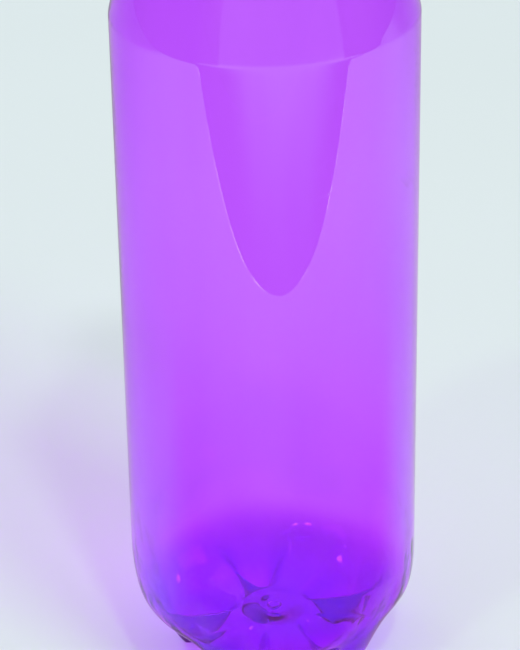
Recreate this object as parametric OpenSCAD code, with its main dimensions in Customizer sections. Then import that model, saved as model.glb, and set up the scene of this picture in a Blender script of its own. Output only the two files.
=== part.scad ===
// A 1.5 litre stretch-blown PET drinks bottle with a five-foot base and a 28 mm screw cap.
// Millimetres, +Z up. The origin is on the floor, under the bottle's axis.

/* [Body] */
// Outside diameter of the straight wall
body_d = 88; // [70:1:110]
// Thickness of the blown wall
wall = 0.4; // [0.3:0.05:0.8]
// Height at which the straight wall ends and the shoulder starts
shoulder_z = 214; // [150:1:280]

/* [Shoulder] */
// Height of the shoulder, from the straight wall up to the neck
shoulder_h = 76; // [66:1:110]
// Lean at which the shoulder breaks away from the wall, in degrees
break_angle = 12; // [0:1:16]
// Rounding of that break
break_r = 6; // [2:1:12]
// Radius of the shoulder's long outward curve
shoulder_r = 125; // [100:1:150]
// Radius of the inward curve into the neck
neck_blend_r = 8; // [6:1:16]

/* [Base] */
// Number of blown feet
feet = 5; // [4:1:7]
// Height at which a foot's heel runs into the straight wall
heel_h = 40; // [26:1:44]
// Height at which a valley runs into the straight wall
valley_top = 40; // [34:1:60]
// Squareness of a valley's curve up to the wall, where 2 is a true ellipse
valley_power = 3.3; // [2:0.1:5]
// Height of the middle of the base above the floor
centre_z = 13; // [10:1:20]
// Radius of the middle of the ring that the feet stand on
stand_r = 25; // [22:1:32]
// Half the radial width of each foot's flat pad
pad_half = 2.5; // [1.5:0.25:4]
// Radius at which the feet start to drop away from the middle
dome_r = 10; // [8:0.5:14]
// Squareness of the heel's curve, where 2 is a true ellipse
heel_power = 1.3; // [1.2:0.1:2.6]
// Share of half a foot's width that is full height before its side falls into the valley
foot_flat = 0.25; // [0.2:0.05:0.5]
// Share of half a foot's width that is level valley floor between two feet
groove = 0.2; // [0:0.05:0.3]
// How much narrower a foot is at the middle of the base than at the wall
foot_taper = 0.6; // [0:0.05:0.8]

/* [Moulding marks] */
// Diameter of the thick unblown disc in the middle of the base
disc_d = 20; // [12:1:22]
// Thickness of that disc
disc_t = 1.8; // [1.5:0.1:4.5]
// Diameter of the gate stub under the disc
gate_d = 3.6; // [2:0.1:6]
// Length of the gate stub
gate_len = 1; // [0.5:0.1:2]
// Step inwards where the base mould meets the body mould
mould_step = 0.25; // [0.2:0.05:0.4]

/* [Neck finish] */
// Diameter of the mouth's bore
bore_d = 21.74; // [20:0.01:23]
// Thickness of the neck wall
neck_wall = 1.6; // [1.2:0.1:2]
// Plain neck below the support ring
neck_plain = 3; // [1:0.5:8]
// Height of the finish, from the support ring's underside to the sealing lip
finish_h = 17; // [16.5:0.1:19]
// Diameter of the support ring
ring_d = 33; // [31:0.1:35]
// Thickness of the support ring at its edge
ring_t = 1.4; // [1:0.1:2]
// Diameter of the bead that holds the tamper band down
bead_d = 28; // [27.6:0.1:28.4]
// Height of the bead's underside above the support ring's underside
bead_z = 6.4; // [6:0.1:7]
// Height of the bead
bead_h = 1.5; // [1:0.1:1.8]

/* [Thread] */
// Outside diameter of the neck's thread
thread_d = 27.43; // [27:0.01:27.8]
// Rise of the thread in one turn
pitch = 2.7; // [2.5:0.1:2.9]
// Turn of the neck's thread from end to end, in degrees
thread_turn = 650; // [500:10:720]
// Turn of the cap's thread from end to end, in degrees
cap_turn = 430; // [300:10:480]
// Clear space between the thread's tip and the wall that it faces
thread_gap = 0.28; // [0.2:0.02:0.4]

/* [Cap] */
// Thickness of the cap's top plate
cap_top_t = 1.4; // [1:0.1:2]
// Thickness of the cap's skirt behind its thread
skirt_t = 1; // [0.8:0.1:1.5]
// Radius of the rounding round the cap's top edge
cap_round = 1.2; // [0.6:0.1:2]
// Number of grip ribs round the skirt
ribs = 60; // [36:6:90]
// Height that each rib stands out from the skirt
rib_h = 0.3; // [0.2:0.05:0.5]
// Thickness of the sealing liner
liner_t = 0.8; // [0.5:0.1:1.5]
// Gap between the cap's skirt and the tamper band
band_gap = 0.3; // [0.2:0.05:0.5]
// Clear space between the tamper band and each part of the neck
band_clear = 0.3; // [0.2:0.05:0.5]
// Number of broken bridges left on the band's upper edge
bridges = 12; // [6:1:20]

/* [Hidden] */
$fn = 96;
eps = 0.01;

body_r = body_d / 2;
bore_r = bore_d / 2;
neck_r = bore_r + neck_wall;
thread_r = thread_d / 2;
bead_r = bead_d / 2;
ring_r = ring_d / 2;

// The base is one faceted cup: its plan is cut into petal_steps wedges a foot and base_rings rings.
petal_steps = 12;
base_rings = 15;
base_cuts = feet * petal_steps;
base_top = max(valley_top, heel_h) + 2;
pad_sink = 0.5;
// A foot's side falls into the valley as this power of the way left to it
side_power = 2;
// The disc thins out between these shares of its own radius
disc_fade_from = 0.7;
disc_fade_to = 1.2;
// The cup is mould_step narrower than the straight wall, which reaches inwards over the cup's rim
cup_r = body_r - mould_step;
ledge_gap = 0.05;
ledge_r = (cup_r - wall) * cos(180 / base_cuts) - ledge_gap;
ledge_h = 0.4;
// The turned wall reaches down past the cup's rim, so that the two share some material
rim_overlap = 0.2;
wall_lo = base_top - rim_overlap;

// Levels of the neck
neck_z = shoulder_z + shoulder_h;
ring_z = neck_z + neck_plain;
lip_z = ring_z + finish_h;
ring_slope = 1;
bead_lo = ring_z + bead_z;
bead_hi = bead_lo + bead_h;
lip_chamfer = 0.4;
mouth_chamfer = 0.3;

// Threads: each ridge is a trapezoid, and embeds its root in the wall behind it
thread_embed = 0.3;
neck_root_half = 0.9;
neck_tip_half = 0.35;
cap_root_half = 0.75;
cap_tip_half = 0.3;
run_out = 30;
// Height at a ridge's very end, as a share of its full height
run_out_end = 0.08;
thread_step = 10;
thread_start = thread_step / 2;
lip_plain = 1.8;
thread_z = lip_z - lip_plain - neck_root_half;

// Cap
cap_in_r = thread_r + thread_gap;
cap_tip_r = neck_r + thread_gap;
cap_out_r = cap_in_r + skirt_t;
skirt_in_r = bead_r + thread_gap;
liner_top = lip_z + liner_t;
cap_hi = liner_top + cap_top_t;
cap_thread_z = thread_z - pitch / 2;
round_step = 15;
rib_w = 2 * rib_h;
rib_root = skirt_t / 2;
// A cutter reaches this far past the face that it opens
over = 1;

// Tamper band, under the bead: a thin wall with an inner lip at its lower edge
bridge_h = 0.35;
bridge_w = 0.9;
bridge_t = 0.6;
bridge_inset = 0.2;
bridge_sink = 0.2;
band_t = 0.9;
band_lip_h = 1.2;
band_chamfer_h = 1;
band_chamfer_w = 0.5;
band_hi = bead_lo - band_clear;
band_lo = ring_z + ring_t + ring_slope + band_clear;
cap_lo = band_hi + band_gap + bridge_h;
band_in_r = neck_r + band_clear;
band_out_r = cap_out_r;

/* Curves */

// Rises smoothly from 0 at t = 0 to 1 at t = 1, and stays level outside
function ease(t) = let (c = min(1, max(0, t))) c * c * (3 - 2 * c);

// Rises from 0 at t = 0 to 1 at t = 1, level at first and upright at the end
function swell(t, power) = 1 - pow(1 - pow(min(1, max(0, t)), power), 1 / power);

// Height of a valley at plan radius r, on a surface whose rim radius is rim and middle height is low
function valley_z(r, rim, low) = low + (valley_top - low) * swell(r / rim, valley_power);

// Height of a foot at plan radius r: dome, inner side, flat pad at height sole, then heel
function foot_z(r, rim, low, sole) =
    let (
        pad_in = stand_r - pad_half,
        pad_out = stand_r + pad_half,
        drop = min(1, max(0, (r - dome_r) / (pad_in - dome_r)))
    )
    r < stand_r
        ? sole + (valley_z(r, rim, low) - sole) * (0.5 + 0.5 * cos(180 * drop))
        : sole + (heel_h - sole) * swell((r - pad_out) / (rim - pad_out), heel_power);

// Share of foot, against valley, at angle a from a valley's middle and plan radius r
function foot_share(a, r, rim) =
    let (
        along = abs(((a * feet / 360) % 1) - 0.5) * 2,
        spread = along * (1 + foot_taper * (1 - r / rim)),
        side = min(1, max(0, (spread - foot_flat) / (1 - foot_flat - groove)))
    )
    pow(1 - side, side_power);

// Height of the base surface. The feet are shaped pad_sink too deep and cut level at the sole, which
// leaves a flat pad under each. extra thickens the disc in the middle.
function base_z(a, r, rim, low, sole, extra) =
    let (
        share = foot_share(a, r, rim),
        foot = foot_z(r, rim, low, sole - pad_sink),
        shaped = share * foot + (1 - share) * valley_z(r, rim, low),
        fade = (2 * r / disc_d - disc_fade_from) / (disc_fade_to - disc_fade_from)
    )
    max(sole, shaped) + extra * (1 - ease(fade));

// One point of a base surface. The first valley looks along -Y.
function base_point(i, j, rim, low, sole, extra) =
    let (a = 360 * j / base_cuts, r = rim * sin(90 * i / base_rings))
    [r * sin(a), -r * cos(a), base_z(a, r, rim, low, sole, extra)];

// A base surface as its middle point, its rings and a last ring at base_top
function base_sheet(rim, low, sole, extra) = concat(
    [[0, 0, low + extra]],
    [for (i = [1:base_rings], j = [0:base_cuts - 1]) base_point(i, j, rim, low, sole, extra)],
    [for (j = [0:base_cuts - 1]) let (a = 360 * j / base_cuts)
        [rim * sin(a), -rim * cos(a), base_top]]
);

// Triangles of such a sheet that starts at point number at; up turns them to face upwards
function sheet_faces(at, up) =
    let (
        last = base_rings,
        p = function (i, j) at + 1 + i * base_cuts + j % base_cuts,
        turn = function (f) up ? f : [f[2], f[1], f[0]]
    )
    concat(
        [for (j = [0:base_cuts - 1]) turn([at, p(0, j + 1), p(0, j)])],
        [for (i = [0:last - 1], j = [0:base_cuts - 1]) turn([p(i, j), p(i, j + 1), p(i + 1, j + 1)])],
        [for (i = [0:last - 1], j = [0:base_cuts - 1]) turn([p(i, j), p(i + 1, j + 1), p(i + 1, j)])]
    );

// Outline from the straight wall up the shoulder to the neck: a small rounded break, then a long arc
// about wide_x, wide_z, and an inward arc into the neck that shares its tangent
function shoulder_curve(rim, neck, steps = 14) =
    let (
        wide_x = rim - break_r * (1 - cos(break_angle)) - shoulder_r * cos(break_angle),
        wide_z = shoulder_z + (break_r - shoulder_r) * sin(break_angle),
        both = shoulder_r + neck_blend_r,
        dx = neck + neck_blend_r - wide_x,
        dz = neck_z - wide_z,
        line = sqrt(max(0, dx * dx + dz * dz - both * both)),
        tilt = atan2(dz, dx) - atan2(line, both)
    )
    concat(
        [for (t = [0, break_angle / 2])
            [rim - break_r * (1 - cos(t)), shoulder_z + break_r * sin(t)]],
        [for (k = [0:steps]) let (t = break_angle + (tilt - break_angle) * k / steps)
            [wide_x + shoulder_r * cos(t), wide_z + shoulder_r * sin(t)]],
        [for (k = [steps:-1:0]) let (t = tilt * k / steps)
            [neck + neck_blend_r * (1 - cos(t)), neck_z - neck_blend_r * sin(t)]]
    );

function reversed(list) = [for (k = [len(list) - 1:-1:0]) list[k]];

/* Shapes */

// A helical ridge round +Z. root_r is where its foot is, tip_r where its crest is.
module ridge(root_r, tip_r, root_half, tip_half, turn, top_z) {
    steps = ceil(turn / thread_step);
    side = root_r < tip_r ? -1 : 1;
    // The ridge fades in and out over run_out degrees
    function grow(a) = max(run_out_end, min(1, min(a, turn - a) / run_out));
    function section(a) =
        let (
            g = grow(a),
            z = top_z - pitch * (turn - a) / 360,
            tip = root_r + (tip_r - root_r) * g,
            foot = root_r + side * thread_embed
        )
        [for (q = [[foot, -root_half], [tip, -tip_half * g], [tip, tip_half * g], [foot, root_half]])
            [q[0] * cos(a), q[0] * sin(a), z + q[1]]];
    points = [for (k = [0:steps]) each section(turn * k / steps)];
    loop = [0, 1, 2, 3];
    flip = side > 0;
    faces = concat(
        [flip ? loop : reversed(loop)],
        [for (k = [0:steps - 1], c = loop) let (d = (c + 1) % 4, a = 4 * k, b = a + 4)
            each (flip ? [[a + c, b + c, a + d], [a + d, b + c, b + d]]
                       : [[a + c, a + d, b + c], [a + d, b + d, b + c]])],
        [[for (c = flip ? reversed(loop) : loop) 4 * steps + c]]
    );
    polyhedron(points, faces, convexity = 6);
}

// The five-foot cup from the floor up to base_top
module base_cup() {
    outer = base_sheet(cup_r, centre_z, 0, 0);
    inner = base_sheet(cup_r - wall, centre_z + wall, wall, disc_t - wall);
    at = len(outer);
    rim = 1 + base_rings * base_cuts;
    polyhedron(
        concat(outer, inner),
        concat(
            sheet_faces(0, false),
            sheet_faces(at, true),
            [for (j = [0:base_cuts - 1]) [rim + j, at + rim + j, rim + (j + 1) % base_cuts]],
            [for (j = [0:base_cuts - 1])
                [rim + (j + 1) % base_cuts, at + rim + j, at + rim + (j + 1) % base_cuts]]
        ),
        convexity = 8
    );
}

// Straight wall, shoulder and neck as one turned wall
module turned_wall() {
    outer = concat([[body_r, wall_lo]], shoulder_curve(body_r, neck_r), [
        [neck_r, ring_z],
        [ring_r, ring_z],
        [ring_r, ring_z + ring_t],
        [neck_r, ring_z + ring_t + ring_slope],
        [neck_r, bead_lo],
        [bead_r, bead_lo],
        [bead_r, bead_lo + bead_h / 3],
        [neck_r, bead_hi],
        [neck_r, lip_z - lip_chamfer],
        [neck_r - lip_chamfer, lip_z]
    ]);
    ledge = [
        [ledge_r, wall_lo],
        [ledge_r, wall_lo + ledge_h],
        [body_r - wall, wall_lo + 2 * ledge_h]
    ];
    inner = concat(ledge, shoulder_curve(body_r - wall, bore_r), [
        [bore_r, lip_z - mouth_chamfer],
        [bore_r + mouth_chamfer, lip_z]
    ]);
    rotate_extrude() polygon(concat(outer, reversed(inner)));
}

module bottle() {
    color([0.55, 0.12, 0.95, 0.6]) union() {
        base_cup();
        translate([0, 0, centre_z - gate_len]) cylinder(d = gate_d, h = gate_len + disc_t / 2);
        turned_wall();
        rotate(thread_start)
            ridge(neck_r, thread_r, neck_root_half, neck_tip_half, thread_turn, thread_z);
    }
}

// Plan of the skirt with its grip ribs
module ribbed_plan() {
    circle(r = cap_out_r);
    for (k = [0:ribs - 1])
        rotate(360 * k / ribs) translate([cap_out_r - rib_root, -rib_w / 2])
            square([rib_root + rib_h, rib_w]);
}

module cap_shell() {
    color([0.36, 0.08, 0.62]) {
        difference() {
            union() {
                translate([0, 0, cap_lo]) linear_extrude(cap_hi - cap_round - cap_lo) ribbed_plan();
                rotate_extrude() polygon(concat(
                    [[0, cap_hi - cap_round - eps], [0, cap_hi]],
                    [for (t = [90:-round_step:0])
                        [cap_out_r - cap_round * (1 - cos(t)), cap_hi - cap_round * (1 - sin(t))]],
                    [[cap_out_r, cap_hi - cap_round - eps]]
                ));
            }
            translate([0, 0, cap_lo - over]) cylinder(r = cap_in_r, h = liner_top - cap_lo + over);
            translate([0, 0, cap_lo - over])
                cylinder(r = skirt_in_r, h = bead_hi + band_gap - cap_lo + over);
        }
        // The cap's ridge runs half a pitch under the neck's
        rotate(thread_start + thread_turn - cap_turn)
            ridge(cap_in_r, cap_tip_r, cap_root_half, cap_tip_half, cap_turn, cap_thread_z);
    }
}

module seal_liner() {
    color("lavender") translate([0, 0, lip_z]) cylinder(r = cap_tip_r, h = liner_t);
}

module tamper_band() {
    color([0.36, 0.08, 0.62]) {
        rotate_extrude() polygon([
            [band_in_r, band_lo + band_chamfer_h],
            [band_in_r + band_chamfer_w, band_lo],
            [band_out_r, band_lo],
            [band_out_r, band_hi],
            [band_out_r - band_t, band_hi],
            [band_out_r - band_t, band_lo + band_lip_h]
        ]);
        for (k = [0:bridges - 1])
            rotate(360 * k / bridges)
                translate([band_out_r - bridge_inset - bridge_t, -bridge_w / 2, band_hi - bridge_sink])
                    cube([bridge_t, bridge_w, bridge_h + bridge_sink]);
    }
}

bottle();
cap_shell();
seal_liner();
tamper_band();
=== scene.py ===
# %% [markdown]
# # A violet blown bottle, looked down on
# A stretch-blown bottle is one thin skin: a straight wall, a long tapering shoulder, a threaded neck and a
# base of five feet. It could be a simple turned cylinder with a coloured material, but then the base, where
# all the interesting light is, would be wrong. So the skin is a real closed shell with an inside and an
# outside, and the feet are drawn out of it by a rule, in Geometry Nodes. Sizes are named values in metres.
# %% Load the frame
import bpy
from math import atan2, cos, degrees, pi, radians, sin, sqrt, tan
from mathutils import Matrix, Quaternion, Vector


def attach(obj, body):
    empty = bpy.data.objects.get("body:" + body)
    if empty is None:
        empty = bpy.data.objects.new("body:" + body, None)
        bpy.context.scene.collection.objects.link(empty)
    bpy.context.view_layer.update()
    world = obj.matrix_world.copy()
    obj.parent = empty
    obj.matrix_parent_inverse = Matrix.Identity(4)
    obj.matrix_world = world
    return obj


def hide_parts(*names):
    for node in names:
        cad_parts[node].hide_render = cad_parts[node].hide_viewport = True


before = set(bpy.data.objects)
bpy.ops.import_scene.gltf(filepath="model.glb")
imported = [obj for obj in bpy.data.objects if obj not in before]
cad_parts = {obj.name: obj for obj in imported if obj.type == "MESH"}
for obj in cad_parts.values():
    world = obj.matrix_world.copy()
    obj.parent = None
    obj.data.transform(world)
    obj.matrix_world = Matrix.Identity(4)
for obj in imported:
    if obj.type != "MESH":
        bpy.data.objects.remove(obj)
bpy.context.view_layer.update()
MM = 0.001
scene = bpy.context.scene
scene.view_settings.view_transform = "Standard"

# %% [markdown]
# ## The camera
# The bottle is looked down on from a little to one side of a valley between two feet. A long lens keeps
# the wall's two edges nearly parallel. The camera could be aimed by a Track To constraint, but a rotation
# that is worked out once is plain to read, and it lets the horizon lean by one degree.
# %% Camera
CAMERA_AZIMUTH = radians(-12)   # round from -Y
CAMERA_PITCH = radians(28)      # below the horizon
CAMERA_LEAN = radians(1.01)
CAMERA_REACH = 700 * MM         # level distance from the bottle's axis
CAMERA_HEIGHT = 486 * MM
AXIS_OFFSET = 2.87 * MM         # the aim passes this far to the left of the axis
SENSOR = 36                     # long side of the sensor, in the camera's own millimetres
LONG_SIDE = 650                 # long side of the picture, in pixels
FOCAL_PIXELS = 2656
NEAR_CLIP = 10 * MM


def add_camera():
    """Make the camera, aimed at a point beside the bottle's axis."""
    data = bpy.data.cameras.new("camera")
    data.sensor_width = SENSOR
    data.lens = FOCAL_PIXELS / LONG_SIDE * SENSOR
    data.clip_start = NEAR_CLIP
    camera = bpy.data.objects.new("camera", data)
    scene.collection.objects.link(camera)
    outward = Vector((sin(CAMERA_AZIMUTH), -cos(CAMERA_AZIMUTH), 0))
    leftward = Vector((outward.y, -outward.x, 0))
    camera.location = outward * CAMERA_REACH + Vector((0, 0, CAMERA_HEIGHT))
    aim = leftward * AXIS_OFFSET
    aim.z = CAMERA_HEIGHT - CAMERA_REACH * tan(CAMERA_PITCH)
    camera.rotation_mode = "QUATERNION"
    turn = (aim - camera.location).to_track_quat("-Z", "Y")
    camera.rotation_quaternion = turn @ Quaternion((0, 0, 1), -CAMERA_LEAN)
    scene.camera = camera
    return camera


camera = add_camera()
print("camera at", [round(c, 3) for c in camera.location], "lens", round(camera.data.lens, 1), "mm")

# %% [markdown]
# ## Fields instead of node spaghetti
# A rule such as "a foot falls smoothly into a valley" takes a dozen Math nodes. They could be placed and
# wired one by one. Here a small Field class lets the rule be written as plain arithmetic, and each sum or
# product quietly becomes one Math node in the tree that is being built.
# %% Fields
class Field:
    """A value that differs from point to point. Arithmetic on fields makes Math nodes."""

    tree = None

    def __init__(self, socket):
        self.socket = socket

    def __add__(self, other): return math_node("ADD", self, other)
    def __radd__(self, other): return math_node("ADD", other, self)
    def __sub__(self, other): return math_node("SUBTRACT", self, other)
    def __rsub__(self, other): return math_node("SUBTRACT", other, self)
    def __mul__(self, other): return math_node("MULTIPLY", self, other)
    def __rmul__(self, other): return math_node("MULTIPLY", other, self)
    def __truediv__(self, other): return math_node("DIVIDE", self, other)
    def __rtruediv__(self, other): return math_node("DIVIDE", other, self)
    def __pow__(self, other): return math_node("POWER", self, other)


def connect(source, socket):
    """Feed a socket from a field, or set it to a plain value."""
    if isinstance(source, Field):
        Field.tree.links.new(source.socket, socket)
    else:
        socket.default_value = source


def math_node(operation, *values):
    """One Math node of the current tree, as a field."""
    node = Field.tree.nodes.new("ShaderNodeMath")
    node.operation = operation
    for value, socket in zip(values, node.inputs):
        connect(value, socket)
    return Field(node.outputs[0])


def clamp01(value):
    """The field, held between 0 and 1."""
    return math_node("MINIMUM", math_node("MAXIMUM", value, 0.0), 1.0)


def ease(value):
    """Rises smoothly from 0 at 0 to 1 at 1."""
    held = clamp01(value)
    return held * held * (3.0 - 2.0 * held)


def choose(test, if_true, if_false):
    """if_true where test is 1, and if_false where it is 0."""
    return if_false + test * (if_true - if_false)


print("fields ready")

# %% [markdown]
# ## Node trees with named inputs
# Each Geometry Nodes tree gets one named input for every size it uses, so that the sizes can be changed on
# the modifier. The modifier is applied by evaluating the object once and taking the finished mesh.
# %% Tree helpers
def start_tree(name, sizes):
    """A new geometry tree with a Geometry input and one float input for each size."""
    tree = bpy.data.node_groups.new(name, "GeometryNodeTree")
    tree.interface.new_socket("Geometry", in_out="INPUT", socket_type="NodeSocketGeometry")
    tree.interface.new_socket("Geometry", in_out="OUTPUT", socket_type="NodeSocketGeometry")
    for size, value in sizes.items():
        socket = tree.interface.new_socket(size, in_out="INPUT", socket_type="NodeSocketFloat")
        socket.default_value = value
    Field.tree = tree
    entry = tree.nodes.new("NodeGroupInput")
    return tree, entry, {size: Field(entry.outputs[size]) for size in sizes}


def point_value(name):
    """A number stored on each point of the mesh."""
    node = Field.tree.nodes.new("GeometryNodeInputNamedAttribute")
    node.data_type = "FLOAT"
    node.inputs["Name"].default_value = name
    return Field(node.outputs["Attribute"])


def place():
    """The x, y and z of each point, as three fields."""
    position = Field.tree.nodes.new("GeometryNodeInputPosition")
    split = Field.tree.nodes.new("ShaderNodeSeparateXYZ")
    Field.tree.links.new(position.outputs[0], split.inputs[0])
    return [Field(output) for output in split.outputs]


def move_points(geometry, x, y, z):
    """Set every point to x, y, z."""
    join = Field.tree.nodes.new("ShaderNodeCombineXYZ")
    for value, socket in zip((x, y, z), join.inputs):
        connect(value, socket)
    mover = Field.tree.nodes.new("GeometryNodeSetPosition")
    Field.tree.links.new(geometry, mover.inputs["Geometry"])
    Field.tree.links.new(join.outputs[0], mover.inputs["Position"])
    return mover.outputs["Geometry"]


def finish_tree(geometry, material):
    """End the tree in Realize Instances and Set Material."""
    tree = Field.tree
    real = tree.nodes.new("GeometryNodeRealizeInstances")
    paint = tree.nodes.new("GeometryNodeSetMaterial")
    paint.inputs["Material"].default_value = material
    leave = tree.nodes.new("NodeGroupOutput")
    tree.links.new(geometry, real.inputs[0])
    tree.links.new(real.outputs[0], paint.inputs["Geometry"])
    tree.links.new(paint.outputs["Geometry"], leave.inputs["Geometry"])


def apply_tree(piece, tree, sizes):
    """Run the tree on the piece, with its inputs set by identifier, and keep the plain mesh."""
    modifier = piece.modifiers.new(tree.name, "NODES")
    modifier.node_group = tree
    for item in tree.interface.items_tree:
        if item.in_out == "INPUT" and item.name in sizes:
            modifier[item.identifier] = float(sizes[item.name])
    seen = piece.evaluated_get(bpy.context.evaluated_depsgraph_get())
    finished = bpy.data.meshes.new_from_object(seen)
    finished.name = piece.name
    piece.modifiers.clear()
    piece.data = finished
    return piece


def link_mesh(name, points, faces, values=None, smooth=True):
    """A new object from points and faces, with stored point values and smooth shading."""
    mesh = bpy.data.meshes.new(name)
    mesh.from_pydata(points, [], faces)
    for key, numbers in (values or {}).items():
        mesh.attributes.new(key, "FLOAT", "POINT").data.foreach_set("value", numbers)
    mesh.polygons.foreach_set("use_smooth", [smooth] * len(mesh.polygons))
    piece = bpy.data.objects.new(name, mesh)
    scene.collection.objects.link(piece)
    return piece


print("tree helpers ready")

# %% [markdown]
# ## Turning a profile
# Everything on this bottle starts as a turned shape. The Screw modifier would do it, but a turned grid made
# here can crowd its columns together where the valleys of the base will be, and it can store on each point
# which rule applies to it. The profile is a closed loop from the middle of the outside round to the middle
# of the inside.
# %% Turned grid
FEET = 5
COLUMNS = 240
CROWDING = 0.62   # how strongly the columns crowd towards the valleys


def column_angle(k):
    """Angle of column k. The first valley is at angle 0, which looks along -Y."""
    per_foot = COLUMNS // FEET
    foot, step = divmod(k, per_foot)
    t = step / per_foot
    return 2 * pi / FEET * (foot + t - CROWDING * sin(2 * pi * t) / (2 * pi))


ANGLES = [column_angle(k) for k in range(COLUMNS)]


def turn_profile(name, profile):
    """Turn a profile of (r, z, {values}) rings about Z. A ring at radius 0 becomes one point."""
    keys = sorted({key for ring in profile for key in ring[2]})
    points, values, rings = [], {key: [] for key in keys}, []
    for radius, height, facts in profile:
        angles = ANGLES if radius > 0 else ANGLES[:1]
        rings.append((len(points), len(angles)))
        points += [(radius * sin(a), -radius * cos(a), height) for a in angles]
        for key in keys:
            values[key] += [facts.get(key, 0.0)] * len(angles)
    faces = []
    for (here, count), (there, next_count) in zip(rings, rings[1:]):
        for k in range(COLUMNS):
            after = (k + 1) % COLUMNS
            if count == 1:
                faces.append((here, there + after, there + k))
            elif next_count == 1:
                faces.append((here + k, here + after, there))
            else:
                faces.append((here + k, here + after, there + after, there + k))
    if rings[0][1] > 1:   # an open loop, such as a ring, joins its last ring to its first
        here, there = rings[-1][0], rings[0][0]
        faces += [(here + k, here + (k + 1) % COLUMNS, there + (k + 1) % COLUMNS, there + k)
                  for k in range(COLUMNS)]
    return link_mesh(name, points, faces, values)


print(COLUMNS, "columns, closest", round(degrees(ANGLES[1] - ANGLES[0]), 2), "degrees apart")

# %% [markdown]
# ## The straight wall
# The wall is 0.4 mm thick, except at the neck, which keeps the full wall of the preform, and in the middle
# of the base, where a thick disc is left that was never blown. The outside and the inside could be two
# separate drawings. They follow the same rules with slightly different sizes, so one function makes both.
# %% Sizes of the wall
BODY_R = 44 * MM
WALL = 0.4 * MM
STRAIGHT_FOOT = 43 * MM
STRAIGHT_TOP = 214 * MM


def between(first, last, steps):
    """Evenly spaced values from first to last, both included."""
    return [first + (last - first) * k / steps for k in range(steps + 1)]


def rings_at(radius, heights, **facts):
    """Rings of one radius at several heights."""
    return [(radius, z, dict(facts)) for z in heights]


WALL_HEIGHTS = between(STRAIGHT_FOOT, STRAIGHT_TOP - 2 * MM, 8)
print("straight wall from", round(STRAIGHT_FOOT / MM), "to", round(STRAIGHT_TOP / MM), "mm")

# %% [markdown]
# ## The bowl of the base
# Before it has feet, the base is a shallow bowl, nearly level across the middle and turned up sharply into
# the wall. An arc of a circle would be too round for that. A squircle has a power that sets how square it
# is. In the middle lie the thick disc and, outside, the stub of the gate where the plastic was fed in.
# %% Bowl
CENTRE_Z = 13 * MM
VALLEY_TOP = 40 * MM
VALLEY_POWER = 3.3
DISC_R = 10 * MM
DISC_T = 1.8 * MM
DISC_FADE_FROM, DISC_FADE = 0.4, 0.8      # in shares of the disc's radius
GATE_R = 1.8 * MM
GATE_LENGTH = 1 * MM
GATE_FADE_FROM, GATE_FADE = 0.85, 0.3     # in shares of the gate's radius
GATE_RINGS = (0.5, 0.85, 0.95, 1.0, 1.05, 1.15, 1.4)
GATE_CLEAR = 1.6


def smooth(t):
    """The plain-number form of ease."""
    held = min(1, max(0, t))
    return held * held * (3 - 2 * held)


def squircle(share, power):
    """Rises from 0 at 0 to 1 at 1, flat at first and upright at the end. A power of 2 is a circle."""
    return 1 - (1 - min(1, share) ** power) ** (1 / power)


def base_rings(rim, low, sole, side, steps=84):
    """Rings of one surface of the bowl, from the middle outwards."""
    radii = [rim * sin(pi / 2 * k / steps) for k in range(steps + 1)]
    if side == "outer":
        gate = [GATE_R * share for share in GATE_RINGS]
        radii = [0] + gate + [r for r in radii if r > GATE_CLEAR * GATE_R]
    rings = []
    for r in radii:
        z = low + (VALLEY_TOP - low) * squircle(r / rim, VALLEY_POWER)
        if side == "outer":
            z -= GATE_LENGTH * (1 - smooth((r / GATE_R - GATE_FADE_FROM) / GATE_FADE))
        else:
            z += (DISC_T - WALL) * (1 - smooth((r / DISC_R - DISC_FADE_FROM) / DISC_FADE))
        rings.append((r, z, {"blown": 1.0, "rim": rim, "sole": sole}))
    return rings


outer_bowl = base_rings(BODY_R, CENTRE_Z, 0.0, "outer")
inner_bowl = base_rings(BODY_R - WALL, CENTRE_Z + WALL, WALL, "inner")
print("bowl of", len(outer_bowl), "rings outside and", len(inner_bowl), "inside")

# %% [markdown]
# ## The shoulder
# The wall breaks inwards by a few degrees, goes on in one long outward arc, and turns up into the neck by a
# small inward arc. A Bezier curve would draw it too, but arcs keep the radii that the mould was cut with.
# The angle at which the last two arcs touch follows from the distance between their centres.
# %% Shoulder
NECK_Z = 290 * MM
BREAK_ANGLE = radians(12)
BREAK_R = 6 * MM
SHOULDER_R = 125 * MM
NECK_BLEND_R = 8 * MM


def shoulder_rings(rim, neck):
    """Rings up the shoulder: a small rounded break, a long outward arc and an inward arc."""
    long_x = rim - BREAK_R * (1 - cos(BREAK_ANGLE)) - SHOULDER_R * cos(BREAK_ANGLE)
    long_z = STRAIGHT_TOP + (BREAK_R - SHOULDER_R) * sin(BREAK_ANGLE)
    both = SHOULDER_R + NECK_BLEND_R
    across, rise = neck + NECK_BLEND_R - long_x, NECK_Z - long_z
    tangent = sqrt(across ** 2 + rise ** 2 - both ** 2)
    tilt = atan2(rise, across) - atan2(tangent, both)
    break_arc = [(rim - BREAK_R * (1 - cos(t)), STRAIGHT_TOP + BREAK_R * sin(t), {})
                 for t in between(0, BREAK_ANGLE, 6)[:-1]]
    long_arc = [(long_x + SHOULDER_R * cos(t), long_z + SHOULDER_R * sin(t), {})
                for t in between(BREAK_ANGLE, tilt, 30)]
    neck_arc = [(neck + NECK_BLEND_R * (1 - cos(t)), NECK_Z - NECK_BLEND_R * sin(t), {})
                for t in between(tilt, 0, 14)]
    return break_arc + long_arc + neck_arc


print("shoulder from", round(STRAIGHT_TOP / MM), "to", round(NECK_Z / MM), "mm")

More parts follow.
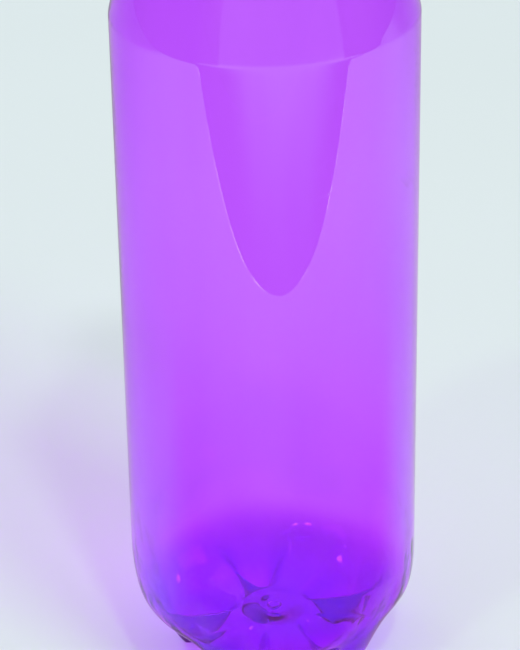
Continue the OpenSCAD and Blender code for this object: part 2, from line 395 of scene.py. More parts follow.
# %% [markdown]
# ## The neck finish
# The neck isn't blown and keeps the shape it was moulded in: a wide ring by which the bottle is carried, a
# bead that holds the cap's tamper band down, and the wall for the thread. A Bevel modifier could round its
# corners. A ring of points beside each corner softens it just as well and keeps the profile one loop.
# %% Neck
BORE_R = 10.87 * MM
NECK_R = BORE_R + 1.6 * MM
RING_R = 16.5 * MM
RING_Z = 293 * MM
RING_T = 1.4 * MM
RING_SLOPE_Z = 2.3 * MM       # the ring's top slopes up to this far above its underside
BEAD_R = 14 * MM
BEAD_Z = 299.4 * MM
BEAD_H = 1.5 * MM
LIP_Z = 310 * MM
SOFT = 0.25 * MM              # softening of the corners
PITCH = 2.7 * MM
THREAD_R = 13.715 * MM
THREAD_Z = 307.3 * MM         # height at which the thread ends, on its middle line
THREAD_TURN = radians(650)
ROOT_HALF = 0.9 * MM          # half the thread's height where it leaves the neck


def ring_and_bead():
    """The support ring and the tamper bead, going up."""
    return (
        rings_at(NECK_R, [NECK_Z + 0.5 * MM, RING_Z - SOFT])
        + [(NECK_R + SOFT, RING_Z, {}), (RING_R - SOFT, RING_Z, {})]
        + rings_at(RING_R, [RING_Z + SOFT, RING_Z + RING_T - SOFT])
        + [(RING_R - SOFT, RING_Z + RING_T, {}), (NECK_R + SOFT, RING_Z + RING_SLOPE_Z, {})]
        + rings_at(NECK_R, [RING_Z + RING_SLOPE_Z + 0.3 * MM, BEAD_Z - SOFT])
        + [(NECK_R + SOFT, BEAD_Z, {}), (BEAD_R - 0.1 * MM, BEAD_Z, {})]
        + rings_at(BEAD_R, [BEAD_Z + 0.2 * MM, BEAD_Z + 0.45 * MM])
        + [(BEAD_R - 0.2 * MM, BEAD_Z + 0.65 * MM, {}), (NECK_R, BEAD_Z + BEAD_H, {})]
    )


def wall_and_lip():
    """The wall that will carry the thread, the lip and the mouth's bore, going up and then down."""
    thread_low = THREAD_Z - PITCH * THREAD_TURN / (2 * pi) - ROOT_HALF
    return (
        rings_at(NECK_R, between(thread_low, THREAD_Z + ROOT_HALF, 50), threaded=1.0)
        + rings_at(NECK_R, [LIP_Z - 0.4 * MM])
        + [(NECK_R - 0.12 * MM, LIP_Z - 0.1 * MM, {}), (NECK_R - 0.4 * MM, LIP_Z, {})]
        + [(BORE_R + 0.3 * MM, LIP_Z, {}), (BORE_R + 0.08 * MM, LIP_Z - 0.08 * MM, {})]
        + rings_at(BORE_R, [LIP_Z - 0.3 * MM, LIP_Z - 6 * MM, RING_Z + 3 * MM])
    )


print("neck of", len(ring_and_bead() + wall_and_lip()), "rings")

# %% [markdown]
# ## The closed profile
# The parts of the profile are joined into one loop: up the outside, over the lip and down the inside to the
# middle of the base. A Solidify modifier could make the inside, but it would give the neck and the disc the
# same thickness as the wall.
# %% Turn the shell
outside = outer_bowl + rings_at(BODY_R, WALL_HEIGHTS) + shoulder_rings(BODY_R, NECK_R)
inside = inner_bowl + rings_at(BODY_R - WALL, WALL_HEIGHTS) + shoulder_rings(BODY_R - WALL, BORE_R)
bottle_shell = turn_profile("bottle_shell", outside + ring_and_bead() + wall_and_lip() + inside[::-1])
print("bottle shell before blowing:", len(bottle_shell.data.vertices), "points")

# %% [markdown]
# ## Blowing the five feet
# The turned bowl has the shape of the valleys. Each foot is drawn down out of it: level near the middle,
# down its inner side to a small pad, and up the heel to the wall. How much of a foot there is at a point
# depends on the angle to the nearest valley. Sculpting would do it too, but a rule keeps the five feet
# equal and lets their sizes be changed.
# %% Feet tree
FOOT_SIZES = {
    "Feet": FEET,
    "Stand Radius": 25 * MM,
    "Pad Half Width": 2.5 * MM,
    "Dome Radius": 10 * MM,
    "Heel Height": 40 * MM,
    "Heel Power": 1.3,
    "Foot Flat": 0.25,
    "Groove Share": 0.2,
    "Side Power": 2.0,
    "Foot Taper": 0.6,
    "Pad Sink": 0.5 * MM,
    "Pad Rounding": 0.5 * MM,
}
THINNEST = MM   # keeps a division away from zero


def feet_tree(material):
    """Geometry nodes that draw the feet down out of the bowl."""
    tree, entry, size = start_tree("Blow the feet", FOOT_SIZES)
    x, y, z = place()
    rim, sole, blown = point_value("rim"), point_value("sole"), point_value("blown")
    radius = math_node("SQRT", x * x + y * y)
    angle = math_node("ARCTAN2", x, 0.0 - y)
    around = angle * size["Feet"] / (2 * pi)
    along = math_node("ABSOLUTE", math_node("FRACT", around) - 0.5) * 2.0
    outness = radius / math_node("MAXIMUM", rim, THINNEST)
    spread = along * (1.0 + size["Foot Taper"] * (1.0 - outness))
    side = clamp01((spread - size["Foot Flat"]) / (1.0 - size["Foot Flat"] - size["Groove Share"]))
    share = (1.0 - side) ** size["Side Power"]
    deep = sole - size["Pad Sink"]
    pad_in = size["Stand Radius"] - size["Pad Half Width"]
    pad_out = size["Stand Radius"] + size["Pad Half Width"]
    drop = clamp01((radius - size["Dome Radius"]) / (pad_in - size["Dome Radius"]))
    inner_side = deep + (z - deep) * (0.5 + 0.5 * math_node("COSINE", drop * pi))
    climb = clamp01((radius - pad_out) / math_node("MAXIMUM", rim - pad_out, THINNEST))
    left = clamp01(1.0 - climb ** size["Heel Power"])
    heel = deep + (size["Heel Height"] - deep) * (1.0 - left ** (1.0 / size["Heel Power"]))
    outside_pad = math_node("GREATER_THAN", radius, size["Stand Radius"])
    foot = choose(outside_pad, heel, inner_side)
    shaped = share * foot + (1.0 - share) * z
    level = math_node("SMOOTH_MAX", sole, shaped, size["Pad Rounding"])
    finish_tree(move_points(entry.outputs["Geometry"], x, y, choose(blown, level, z)), material)
    return tree


print("feet rule with", len(FOOT_SIZES), "sizes")

# %% [markdown]
# ## Raising the screw thread
# A thread is a ridge that climbs by one pitch in each turn. It could be swept along a helix and joined on,
# but in clear plastic a joint shows as a dark line inside. So the points of the neck's own wall are pushed
# out where the ridge passes.
# %% Thread tree
THREAD_SIZES = {
    "Pitch": PITCH,
    "Turn": THREAD_TURN,
    "Start": radians(5),
    "Top": THREAD_Z,
    "Root Half": ROOT_HALF,
    "Tip Half": 0.35 * MM,
    "Height": THREAD_R - NECK_R,
    "Run Out": radians(30),
}
WHOLE_TURNS = 4.0   # added before a turn's share is taken, so that the angle is above zero


def thread_tree(material):
    """Geometry nodes that push the points marked threaded out into a helical ridge."""
    tree, entry, size = start_tree("Raise the thread", THREAD_SIZES)
    x, y, z = place()
    radius = math_node("SQRT", x * x + y * y)
    turned = math_node("ARCTAN2", y, x) - size["Start"]
    first = math_node("FRACT", turned / (2 * pi) + WHOLE_TURNS) * (2 * pi)
    bottom = size["Top"] - size["Pitch"] * size["Turn"] / (2 * pi)
    height_turns = (z - bottom) / size["Pitch"] - first / (2 * pi)
    lap = math_node("MAXIMUM", math_node("ROUND", height_turns), 0.0)
    last_lap = math_node("FLOOR", (size["Turn"] - first) / (2 * pi))
    on_lap = math_node("MINIMUM", lap, last_lap)
    sweep = first + on_lap * (2 * pi)
    off_centre = math_node("ABSOLUTE", z - bottom - size["Pitch"] * sweep / (2 * pi))
    flank = clamp01((size["Root Half"] - off_centre) / (size["Root Half"] - size["Tip Half"]))
    ends = clamp01(math_node("MINIMUM", sweep, size["Turn"] - sweep) / size["Run Out"])
    push = 1.0 + point_value("threaded") * flank * ends * size["Height"] / radius
    finish_tree(move_points(entry.outputs["Geometry"], x * push, y * push, z), material)
    return tree


print("thread rule with", len(THREAD_SIZES), "sizes")

# %% [markdown]
# ## Places and noise
# Every finish reads Object coordinates, so that a pattern keeps its size and stays on its piece. They could
# be wired to a Mapping node by hand each time. These helpers do it in one word, as fields.
# %% Texture helpers
def stretched_place(turn=(0, 0, 0), stretch=(1, 1, 1)):
    """Object coordinates, turned and stretched for a texture."""
    coordinates = Field.tree.nodes.new("ShaderNodeTexCoord")
    mapping = Field.tree.nodes.new("ShaderNodeMapping")
    mapping.inputs["Rotation"].default_value = turn
    mapping.inputs["Scale"].default_value = stretch
    Field.tree.links.new(coordinates.outputs["Object"], mapping.inputs["Vector"])
    return mapping.outputs["Vector"]


def split_place():
    """The x, y and z of Object coordinates, as three fields."""
    split = Field.tree.nodes.new("ShaderNodeSeparateXYZ")
    Field.tree.links.new(stretched_place(), split.inputs[0])
    return [Field(output) for output in split.outputs]


def noise(where, scale, detail=2.0, distortion=0.0):
    """A noise texture, as a field from 0 to 1."""
    node = Field.tree.nodes.new("ShaderNodeTexNoise")
    Field.tree.links.new(where, node.inputs["Vector"])
    connect(scale, node.inputs["Scale"])
    node.inputs["Detail"].default_value = detail
    node.inputs["Distortion"].default_value = distortion
    return Field(node.outputs["Fac"])


print("texture helpers ready")

# %% [markdown]
# ## Effects that several finishes share
# Handling leaves fine scratches on every plastic surface, and moulding leaves a faint unevenness. Both could
# be painted as images. Here each is a small group of noise textures with named inputs, which works at any
# size and is placed in each finish with its own values.
# %% Shader groups
SCRATCH_DIRECTIONS = (((0.3, 0.2, 0.9), (1.0, 0.12, 0.5)),   # each a turn and a stretch
                      ((1.1, 0.4, 0.2), (0.15, 1.0, 0.7)))
SCRATCH_FINENESS = 160.0
SCRATCH_BREAKS = 0.8        # scale of the breaks, as a share of the scratches' scale
SLOW_SCALE = 0.02           # scale of the unevenness, as a share of the grain's


def start_group(name, inputs, outputs):
    """A new shader group with named float inputs and outputs."""
    group = bpy.data.node_groups.new(name, "ShaderNodeTree")
    for key, value in inputs.items():
        socket = group.interface.new_socket(key, in_out="INPUT", socket_type="NodeSocketFloat")
        socket.default_value = value
    for key in outputs:
        group.interface.new_socket(key, in_out="OUTPUT", socket_type="NodeSocketFloat")
    Field.tree = group
    entry, leave = group.nodes.new("NodeGroupInput"), group.nodes.new("NodeGroupOutput")
    return group, {key: Field(entry.outputs[key]) for key in inputs}, leave


def scratch_group():
    """Hair-thin scratches: the middle lines of two stretched noises, broken up by a third."""
    group, given, leave = start_group("Fine scratches", {"Scale": 90.0, "Amount": 0.5}, ["Mask"])
    lines = []
    for turn, stretch in SCRATCH_DIRECTIONS:
        field = noise(stretched_place(turn, stretch), given["Scale"], 1.0, 0.4)
        lines.append(clamp01(1.0 - math_node("ABSOLUTE", field - 0.5) * SCRATCH_FINENESS))
    broken = clamp01(noise(stretched_place(), given["Scale"] * SCRATCH_BREAKS) * 6.0 - 3.3)
    mask = math_node("MAXIMUM", *lines) * broken * given["Amount"]
    group.links.new(mask.socket, leave.inputs["Mask"])
    return group


def grain_group():
    """The fine even grain of a moulded surface, with slow unevenness under it."""
    group, given, leave = start_group("Moulded grain", {"Scale": 2500.0, "Unevenness": 0.3}, ["Height"])
    where = stretched_place()
    slow = noise(where, given["Scale"] * SLOW_SCALE)
    height = noise(where, given["Scale"], 3.0) + given["Unevenness"] * slow
    group.links.new(height.socket, leave.inputs["Height"])
    return group


SCRATCHES, GRAIN = scratch_group(), grain_group()
print("shader groups:", SCRATCHES.name, "and", GRAIN.name)

# %% [markdown]
# ## Parts of a finish
# A finish here is a Principled BSDF with fields wired into its colour, roughness and normal. Each material
# could be built by hand in the shader editor. These few helpers name the steps that all of them take.
# %% Finish helpers
def new_finish(name):
    """A material with one Principled BSDF, made the current tree."""
    material = bpy.data.materials.new(name)
    material.use_nodes = True
    Field.tree = material.node_tree
    return material, material.node_tree.nodes["Principled BSDF"]


def place_group(group, **values):
    """Put a shared effect in the current material. Returns its first output as a field."""
    node = Field.tree.nodes.new("ShaderNodeGroup")
    node.node_tree = group
    for key, value in values.items():
        node.inputs[key].default_value = value
    return Field(node.outputs[0])


def blend_colours(share, first, second):
    """The mix of two colours, each plain or a socket, by a field."""
    node = Field.tree.nodes.new("ShaderNodeMix")
    node.data_type = "RGBA"
    connect(share, node.inputs[0])
    for colour, socket in ((first, node.inputs[6]), (second, node.inputs[7])):
        if isinstance(colour, tuple):
            socket.default_value = (*colour, 1)
        else:
            Field.tree.links.new(colour, socket)
    return node.outputs[2]


def bump(height, strength, distance):
    """A Bump node fed by a height field."""
    node = Field.tree.nodes.new("ShaderNodeBump")
    node.inputs["Strength"].default_value = strength
    node.inputs["Distance"].default_value = distance
    connect(height, node.inputs["Height"])
    return node.outputs["Normal"]


print("finish helpers ready")

# %% [markdown]
# ## The dye in the plastic
# Blown bottle plastic is perfectly clear, with a dye all through it. A volume with an absorption density
# would be the physical way, but in a skin 0.4 mm thick it needs enormous numbers and renders noisily. A
# tinted transmission gives each wall its share of colour: two walls are deeper than one, and the thick
# middle of the base is deepest, as on the real thing.
# %% Dye
VIOLET = (0.705, 0.27, 0.95)   # what one wall lets through
BASE_WALLS = 2.9               # thickness of the base's middle, in walls
BASE_EDGE, BASE_EDGE_FADE = 44 * MM, 10 * MM      # out to this radius it is thicker than the wall
BASE_TOP, BASE_TOP_FADE = 33 * MM, 12 * MM        # and up to this height
FOOT_SHARE, FOOT_TOP = 0.45, 11 * MM              # the feet are blown furthest, so they are thinner
NECK_WALLS = 3.0
NECK_FROM, NECK_FADE = NECK_Z - 14 * MM, 12 * MM


def wall_count():
    """How many walls thick the plastic is: one on the body, more in the base and the neck."""
    x, y, z = split_place()
    radius = math_node("SQRT", x * x + y * y)
    middle = ease((BASE_EDGE - radius) / BASE_EDGE_FADE) * ease((BASE_TOP - z) / BASE_TOP_FADE)
    middle = middle * (FOOT_SHARE + (1.0 - FOOT_SHARE) * ease(z / FOOT_TOP))
    neck = ease((z - NECK_FROM) / NECK_FADE)
    return 1.0 + middle * (BASE_WALLS - 1) + neck * (NECK_WALLS - 1)


def dye(thickness):
    """The dye's colour through so many walls: each wall takes the same share again."""
    join = Field.tree.nodes.new("ShaderNodeCombineColor")
    for share, socket in zip(VIOLET, join.inputs):
        connect(math_node("POWER", share, thickness), socket)
    return join.outputs[0]


print("dye through two walls:", [round(share ** 2, 2) for share in VIOLET])

# %% [markdown]
# ## The clear violet plastic
# Blowing stretches the plastic into long, faint streaks and waves, and leaves the heel slightly rippled
# where it chilled on the mould. Both could be modelled in the skin, but they are finer than its mesh, so
# they stay in the thickness and the bump. A clear solid casts a grey shadow in a path tracer, since
# straight light doesn't find its way through. A tinted Transparent BSDF, mixed in for shadow rays, lets
# the colour through.
# %% Clear plastic
SHADOW_TINT = (0.80, 0.50, 0.90)   # what one surface lets through on the way to a shadow
REFRACTION = 1.57
POLISH, SCRATCH_ROUGHNESS = 0.012, 0.2      # roughness of the clean surface, and what a scratch adds
WAVE_STRETCH, WAVE_SCALE = (1, 1, 0.35), 45.0
STREAK_STRETCH, STREAK_SCALE = (1, 1, 0.06), 60.0
RIPPLE_STRETCH, RIPPLE_SCALE = (1, 1, 0.7), 95.0
EVEN_SHARE, WAVE_SHARE, STREAK_SHARE = 0.84, 0.14, 0.18   # of the thickness
SLANT_DEPTH = 0.8                  # a slanting path through the wall is longer, by up to this share
WAVE_HEIGHT, RIPPLE_HEIGHT = 0.05, 0.7   # in millimetres, since the bump's distance is one
SCRATCH_HEIGHT = 0.05              # as a share of the waves' height
HEEL_LOW, HEEL_LOW_FADE = 12 * MM, 12 * MM
HEEL_HIGH, HEEL_HIGH_FADE = 54 * MM, 14 * MM


def tint_shadow(material, shader, colour):
    """Let straight light through to the floor, tinted."""
    tree = material.node_tree
    path = tree.nodes.new("ShaderNodeLightPath")
    tinted = tree.nodes.new("ShaderNodeBsdfTransparent")
    tinted.inputs["Color"].default_value = (*colour, 1)
    mix = tree.nodes.new("ShaderNodeMixShader")
    tree.links.new(path.outputs["Is Shadow Ray"], mix.inputs[0])
    tree.links.new(shader.outputs[0], mix.inputs[1])
    tree.links.new(tinted.outputs[0], mix.inputs[2])
    tree.links.new(mix.outputs[0], tree.nodes["Material Output"].inputs["Surface"])


def blown_plastic():
    """Clear violet bottle plastic, deeper where it is thick, with slow waves and fine scratches."""
    material, shader = new_finish("blown_violet_plastic")
    links = material.node_tree.links
    waves = noise(stretched_place(stretch=WAVE_STRETCH), WAVE_SCALE, 1.0)
    streaks = noise(stretched_place(stretch=STREAK_STRETCH), STREAK_SCALE)
    scratches = place_group(SCRATCHES, Scale=70.0, Amount=1.0)
    facing = material.node_tree.nodes.new("ShaderNodeLayerWeight")
    facing.inputs["Blend"].default_value = 0.5
    slant = Field(facing.outputs["Facing"])
    unevenness = EVEN_SHARE + WAVE_SHARE * waves + STREAK_SHARE * streaks
    thickness = wall_count() * unevenness * (1.0 + SLANT_DEPTH * slant * slant)
    links.new(dye(thickness), shader.inputs["Base Color"])
    links.new((POLISH + scratches * SCRATCH_ROUGHNESS).socket, shader.inputs["Roughness"])
    z = split_place()[2]
    heel = ease((z - HEEL_LOW) / HEEL_LOW_FADE) * ease((HEEL_HIGH - z) / HEEL_HIGH_FADE)
    ripples = noise(stretched_place(stretch=RIPPLE_STRETCH), RIPPLE_SCALE, 1.5)
    relief = (waves + streaks - scratches * SCRATCH_HEIGHT) * WAVE_HEIGHT + heel * ripples * RIPPLE_HEIGHT
    links.new(bump(relief, 1.0, MM), shader.inputs["Normal"])
    shader.inputs["Transmission Weight"].default_value = 1.0
    shader.inputs["IOR"].default_value = REFRACTION
    tint_shadow(material, shader, SHADOW_TINT)
    return material


blown_violet = blown_plastic()
print("finish:", blown_violet.name)

# %% [markdown]
# ## The moulded plastic of the cap
# A screw cap and its band are injection-moulded in an opaque plastic of the same colour family, and the
# liner in a soft pale compound. A flat colour would look like paint, so each has a fine grain, a slow change
# of colour and a few scratches from handling.
# %% Moulded plastic
CAP_DEEP, CAP_PALE = (0.13, 0.02, 0.33), (0.17, 0.035, 0.4)
LINER_DEEP, LINER_PALE = (0.62, 0.58, 0.68), (0.72, 0.69, 0.78)
CAP_ROUGHNESS, CAP_GRAIN = 0.3, 2600.0
LINER_ROUGHNESS, LINER_GRAIN = 0.5, 1800.0
DRIFT_SCALE = 120.0                          # of the slow change of colour
GRAIN_ROUGHNESS, RUB_ROUGHNESS = 0.08, 0.15  # what the grain and a scratch add
GRAIN_STRENGTH, GRAIN_HEIGHT = 0.12, 0.1 * MM


def moulded_plastic(name, deep, pale, roughness, scale):
    """Solid moulded plastic with a fine grain, a slow colour change and a few scratches."""
    material, shader = new_finish(name)
    links = material.node_tree.links
    grain = place_group(GRAIN, Scale=scale, Unevenness=0.4)
    scratches = place_group(SCRATCHES, Scale=240.0, Amount=0.7)
    drift = noise(stretched_place(), DRIFT_SCALE)
    links.new(blend_colours(clamp01(drift + scratches * 0.3), deep, pale), shader.inputs["Base Color"])
    dullness = roughness + grain * GRAIN_ROUGHNESS + scratches * RUB_ROUGHNESS
    links.new(dullness.socket, shader.inputs["Roughness"])
    links.new(bump(grain - scratches, GRAIN_STRENGTH, GRAIN_HEIGHT), shader.inputs["Normal"])
    return material


cap_violet = moulded_plastic("cap_violet_plastic", CAP_DEEP, CAP_PALE, CAP_ROUGHNESS, CAP_GRAIN)
liner_pale = moulded_plastic("liner_compound", LINER_DEEP, LINER_PALE, LINER_ROUGHNESS, LINER_GRAIN)
print("finishes:", cap_violet.name, "and", liner_pale.name)

# %% [markdown]
# ## The finished skin
# Both trees run on the same turned shell: first the feet, then the thread. They could stay live as
# modifiers, but each is applied and only the finished mesh is kept. The piece then stands for the imported
# bottle and rides on its body. The cap, its liner and the band keep their imported meshes, whose ribs and
# bridges are already real, and only get their finishes.
# %% Blow and thread the bottle
apply_tree(bottle_shell, feet_tree(blown_violet), FOOT_SIZES)
apply_tree(bottle_shell, thread_tree(blown_violet), THREAD_SIZES)
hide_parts("bottle")
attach(bottle_shell, "bottle")
for node, finish in (("cap_shell", cap_violet), ("seal_liner", liner_pale), ("tamper_band", cap_violet)):
    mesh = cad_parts[node].data
    mesh.materials.clear()
    mesh.materials.append(finish)
corner_heights = [corner[2] for corner in bottle_shell.bound_box]
print("bottle shell:", len(bottle_shell.data.polygons), "faces, height",
      round((max(corner_heights) - min(corner_heights)) / MM, 2), "mm")

# %% [markdown]
# ## The sheet under the bottle
# The bottle stands on a pale matt sheet that ends some way in front of it. Its wall mirrors the sheet as a
# soft veil, and where it mirrors past the sheet's front edge the veil stops: that makes the long rounded
# tongue of clean colour down the middle. Light that the bottle gathers and tints round its own foot would
# need caustics, which a path tracer is slow at. So the Light Path node tells rays that come through the
# plastic, or are mirrored by it, from the rest, and only they see a violet pool of painted light and shade,
# the sheet's painted glow and its painted reflections. Seen directly, the sheet has no pool and keeps the
# bottle's shadow, and it is painted paler further behind the bottle.
# %% Sheet
FLOOR_FRONT = 326 * MM       # from the axis to the sheet's front edge
FLOOR_EDGE_AZIMUTH = radians(-5.2)
FLOOR_REACH = 3.0
FLOOR_COLOUR = (0.63, 0.69, 0.685)
# Painted light: the sheet's colour grows paler from near the bottle to far behind it.
FLOOR_FAR_PAINTED_LIGHT_COLOUR = (0.74, 0.81, 0.815)
FLOOR_FAR = 600 * MM         # fully the far colour this far behind the bottle
FLOOR_DRIFT_SCALE, FLOOR_DRIFT = 4.0, 0.2
FLOOR_ROUGHNESS, FLOOR_GLOSS = 0.9, 0.1
# Painted glow: the sheet emits light by this much for rays through the plastic.
THROUGH_LIFT = 0.3           # how much brighter the surroundings are through the plastic
# Painted light and shade: a violet pool round the foot, seen only through the plastic, stands in for the
# bottle's tinted light and shadow.
POOL_COLOUR = (0.66, 0.24, 0.68)         # the light that the bottle colours round its own foot
POOL_LIFT = 0.35             # and how bright that is through the plastic
POOL_FULL, POOL_END = 42 * MM, 85 * MM
# Painted reflection: the wall mirrors the sheet dark violet in front of the foot.
PAINTED_MIRROR_POOL_COLOUR = (0.70, 0.05, 0.5)   # the same, as the wall mirrors it
MIRROR_POOL_FULL, MIRROR_POOL_END = 110 * MM, 330 * MM
MIRROR_POOL_BACK, MIRROR_POOL_BACK_FADE = -60 * MM, 80 * MM
# Painted reflection: the sheet in front glows by this much, seen only in mirrors.
MIRROR_LIFT = 0.45           # how much brighter the sheet in front is in mirrors
MIRROR_LIFT_FROM, MIRROR_LIFT_FADE = 240 * MM, 200 * MM
# Painted reflection: the sheet behind the bottle is painted darker in mirrors.
BEHIND_REFLECTION_SHADE = (0.52, 0.44, 0.58)       # and how the sheet behind the bottle mirrors
BEHIND_FROM, BEHIND_FADE = -100 * MM, 500 * MM
# Painted highlight: the sheet's cut edge glows in mirrors, as if it caught the light.
RIM_WIDTH = 3 * MM           # the sheet's cut edge catches the light
RIM_PAINTED_HIGHLIGHT = 5.0
RIM_BREAK_SCALE = 22.0
RIM_GAP, RIM_GAP_FADE = 60 * MM, 60 * MM   # but not in the middle
WHITE = (1.0, 1.0, 1.0)


def ray_kinds():
    """1 for rays that come through the plastic, and 1 for rays that it mirrors. A refracted ray is both
    a transmission ray and a glossy ray, so the first is taken from the second."""
    path = Field.tree.nodes.new("ShaderNodeLightPath")
    through = Field(path.outputs["Is Transmission Ray"])
    return through, Field(path.outputs["Is Glossy Ray"]) * (1.0 - through)


def painted_edge_highlight(x, y):
    """A painted highlight: the bright broken line along the sheet's front edge, seen in mirrors, left out in
    the middle.
    """
    inwards = y * cos(FLOOR_EDGE_AZIMUTH) - x * sin(FLOOR_EDGE_AZIMUTH) + FLOOR_FRONT
    broken = ease(noise(stretched_place(), RIM_BREAK_SCALE, 1.0) * 5.0 - 2.0)
    sideways = clamp01((math_node("ABSOLUTE", x) - RIM_GAP) / RIM_GAP_FADE)
    return clamp01(1.0 - inwards / RIM_WIDTH) * broken * sideways


def sheet_finish():
    """Matt pale sheet, painted paler further back, with painted light and shade near the bottle: violet for
    rays through the plastic or mirrored in it, with a painted glow and a painted edge highlight.
    """
    material, shader = new_finish("pale_sheet")
    links = material.node_tree.links
    x, y, _ = split_place()
    radius = math_node("SQRT", x * x + y * y)
    through, mirrored = ray_kinds()
    drift = noise(stretched_place(), FLOOR_DRIFT_SCALE) - 0.5
    # painted light: the sheet is painted paler further behind the bottle
    away = clamp01(y / FLOOR_FAR + drift * FLOOR_DRIFT)
    # painted light and shade: the violet pool round the foot, for rays through the plastic
    pool = through * (1.0 - ease((radius - POOL_FULL) / (POOL_END - POOL_FULL)))
    # painted reflection: darker behind the bottle, for mirrored rays
    behind = mirrored * ease((y - BEHIND_FROM) / BEHIND_FADE)
    # painted reflection: a dark violet pool in front of the foot, for mirrored rays
    mirror_pool = 1.0 - ease((radius - MIRROR_POOL_FULL) / (MIRROR_POOL_END - MIRROR_POOL_FULL))
    mirror_pool = mirrored * mirror_pool * (1.0 - ease((y - MIRROR_POOL_BACK) / MIRROR_POOL_BACK_FADE))
    colour = blend_colours(away, FLOOR_COLOUR, FLOOR_FAR_PAINTED_LIGHT_COLOUR)
    colour = blend_colours(pool, colour, POOL_COLOUR)
    colour = blend_colours(behind, colour, BEHIND_REFLECTION_SHADE)
    colour = blend_colours(mirror_pool, colour, PAINTED_MIRROR_POOL_COLOUR)
    links.new(colour, shader.inputs["Base Color"])
    shader.inputs["Roughness"].default_value = FLOOR_ROUGHNESS
    shader.inputs["Specular IOR Level"].default_value = FLOOR_GLOSS
    # painted glow: the sheet's emission turns violet in the pool
    links.new(blend_colours(pool, WHITE, POOL_COLOUR), shader.inputs["Emission Color"])
    # painted glow for rays through the plastic, changed inside the pool
    lift = through * THROUGH_LIFT + pool * (POOL_LIFT - THROUGH_LIFT)
    # painted reflection: the sheet further in front glows in mirrors
    in_front = ease((radius - MIRROR_LIFT_FROM) / MIRROR_LIFT_FADE)
    lift = lift + mirrored * (1.0 - behind) * in_front * MIRROR_LIFT
    # painted highlight along the cut edge, for mirrored rays
    glow = lift + painted_edge_highlight(x, y) * mirrored * RIM_PAINTED_HIGHLIGHT
    links.new(glow.socket, shader.inputs["Emission Strength"])
    return material


def add_sheet():
    """The sheet, as one plane that ends at its front edge."""
    forward = Vector((-sin(FLOOR_EDGE_AZIMUTH), cos(FLOOR_EDGE_AZIMUTH), 0))
    side = Vector((forward.y, -forward.x, 0)) * FLOOR_REACH
    front, back = -forward * FLOOR_FRONT, forward * FLOOR_REACH
    points = [front - side, front + side, back + side, back - side]
    sheet = link_mesh("pale_sheet", points, [(0, 1, 2, 3)], smooth=False)
    sheet.data.materials.append(sheet_finish())
    return sheet


sheet = add_sheet()
print(sheet.name, "ends", round(FLOOR_FRONT / MM), "mm in front of the axis")

# %% [markdown]
# ## The room that the bottle mirrors
# Past the sheet's edge the wall mirrors the floor of the room, dark near the table and brighter further off,
# and the far wall above it. Modelled furniture would do this too, but all that shows is a soft change from
# dark to pale. One bent plane gives it. It glows for mirrored rays and is transparent to all others, so that
# it never hides the object or lights it.
# %% Room floor
ROOM_FLOOR_Z = -450 * MM
ROOM_FLOOR_NEAR = 1150 * MM  # from the axis: dark up to here
ROOM_FLOOR_FAR = 1700 * MM   # and bright from here
ROOM_FLOOR_DARK, ROOM_FLOOR_BRIGHT = 0.08, 1.5
ROOM_DRIFT_SCALE, ROOM_DRIFT = 3.0, 0.3
ROOM_COLOUR = (0.9, 0.95, 1.0)
ROOM_WALL_DIM, ROOM_WALL_FADE = 0.65, 900 * MM   # the far wall loses this share over this height
ROOM_WALL_Y, ROOM_WALL_TOP, ROOM_HALF_WIDTH = -3.0, 2.5, 3.0


def room_floor_finish():
    """A painted reflection of the room, seen only in mirrors: painted shade near the table, brighter further
    off, and dimmer up the far wall.
    """
    material, shader = new_finish("room_floor")
    tree = material.node_tree
    _, y, z = split_place()
    drift = (noise(stretched_place(), ROOM_DRIFT_SCALE) - 0.5) * ROOM_DRIFT
    rise = ease((0.0 - y - ROOM_FLOOR_NEAR) / (ROOM_FLOOR_FAR - ROOM_FLOOR_NEAR) + drift)
    # painted shade: the far wall dims upwards
    rise = rise * (1.0 - ROOM_WALL_DIM * ease((z - ROOM_FLOOR_Z) / ROOM_WALL_FADE))
    strength = ROOM_FLOOR_DARK + rise * (ROOM_FLOOR_BRIGHT - ROOM_FLOOR_DARK)
    glow, clear, mix = [tree.nodes.new("ShaderNode" + kind)
                        for kind in ("Emission", "BsdfTransparent", "MixShader")]
    glow.inputs["Color"].default_value = (*ROOM_COLOUR, 1)
    connect(strength, glow.inputs["Strength"])
    connect(ray_kinds()[1], mix.inputs[0])
    tree.links.new(clear.outputs[0], mix.inputs[1])
    tree.links.new(glow.outputs[0], mix.inputs[2])
    tree.links.new(mix.outputs[0], tree.nodes["Material Output"].inputs["Surface"])
    tree.nodes.remove(shader)
    return material


def add_room_floor():
    """The floor and far wall of the room, in front of the table."""
    near, far, wide = -FLOOR_FRONT, ROOM_WALL_Y, ROOM_HALF_WIDTH
    points = [(-wide, far, ROOM_FLOOR_Z), (wide, far, ROOM_FLOOR_Z), (wide, near, ROOM_FLOOR_Z),
              (-wide, near, ROOM_FLOOR_Z), (-wide, far, ROOM_WALL_TOP), (wide, far, ROOM_WALL_TOP)]
    plane = link_mesh("room_floor", points, [(0, 1, 2, 3), (1, 0, 4, 5)], smooth=False)
    plane.data.materials.append(room_floor_finish())
    return plane


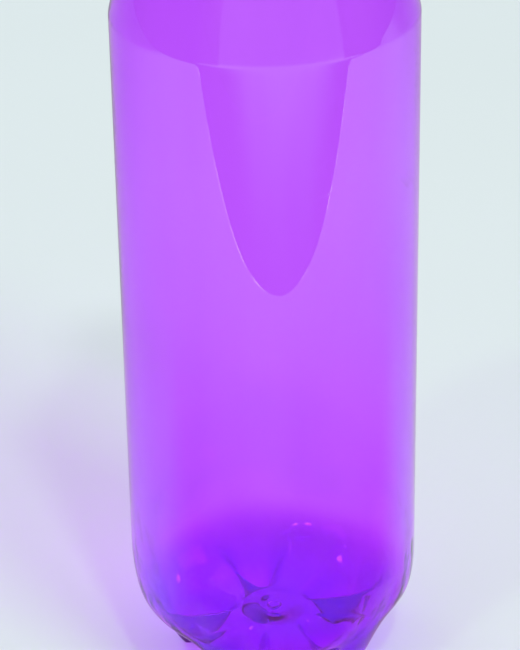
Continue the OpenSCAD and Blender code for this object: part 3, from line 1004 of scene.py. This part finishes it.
room_floor = add_room_floor()
print(room_floor.name, "lies", round(-ROOM_FLOOR_Z / MM), "mm below the sheet")

# %% [markdown]
# ## World and lamps
# Daylight comes softly from all round, with one larger window. An HDR image would light it, but plain
# strengths are easier to read and to change. The world is pale to the eye, brighter through the plastic and
# dim in mirrors, or the wall would turn milky. The four lamps are high, so that none of them mirrors in the
# part of the wall that is looked at.
# %% Light
WORLD_COLOUR = (0.88, 0.93, 0.95)
WORLD_STRENGTH = 0.68
WORLD_MIRROR_DIM = 0.58
WORLD_THROUGH_LIFT = THROUGH_LIFT + 0.15
LAMP_AIM = Vector((0, 0, 0.1))
LAMPS = {   # azimuth from -Y in degrees, height, level distance and side in metres, and watts
    "window_lamp": (29, 1.3, 1.1, 0.5, 12),
    "room_lamp": (-150, 1.5, 1.3, 0.5, 3),
    "front_lamp": (4, 1.75, 1.0, 0.12, 7),
    "side_lamp": (-50, 1.7, 1.2, 0.12, 4),
}


def set_world():
    """Pale to the camera, plain light on the object, dim in mirrors."""
    world = bpy.data.worlds.new("surroundings")
    scene.world = world
    world.use_nodes = True
    Field.tree = world.node_tree
    through, mirrored = ray_kinds()
    background = world.node_tree.nodes["Background"]
    background.inputs["Color"].default_value = (*WORLD_COLOUR, 1)
    strength = WORLD_STRENGTH - mirrored * WORLD_MIRROR_DIM + through * WORLD_THROUGH_LIFT
    connect(strength, background.inputs["Strength"])


def add_lamp(name, azimuth, height, distance, size, power):
    """A square soft lamp that looks at the bottle."""
    data = bpy.data.lights.new(name, "AREA")
    data.size = size
    data.energy = power
    lamp = bpy.data.objects.new(name, data)
    scene.collection.objects.link(lamp)
    lamp.location = Vector((sin(azimuth) * distance, -cos(azimuth) * distance, height))
    lamp.rotation_mode = "QUATERNION"
    lamp.rotation_quaternion = (LAMP_AIM - lamp.location).to_track_quat("-Z", "Y")
    return lamp


set_world()
lamps = [add_lamp(name, radians(azimuth), *rest) for name, (azimuth, *rest) in LAMPS.items()]
print("stage set with", len(lamps), "lamps")
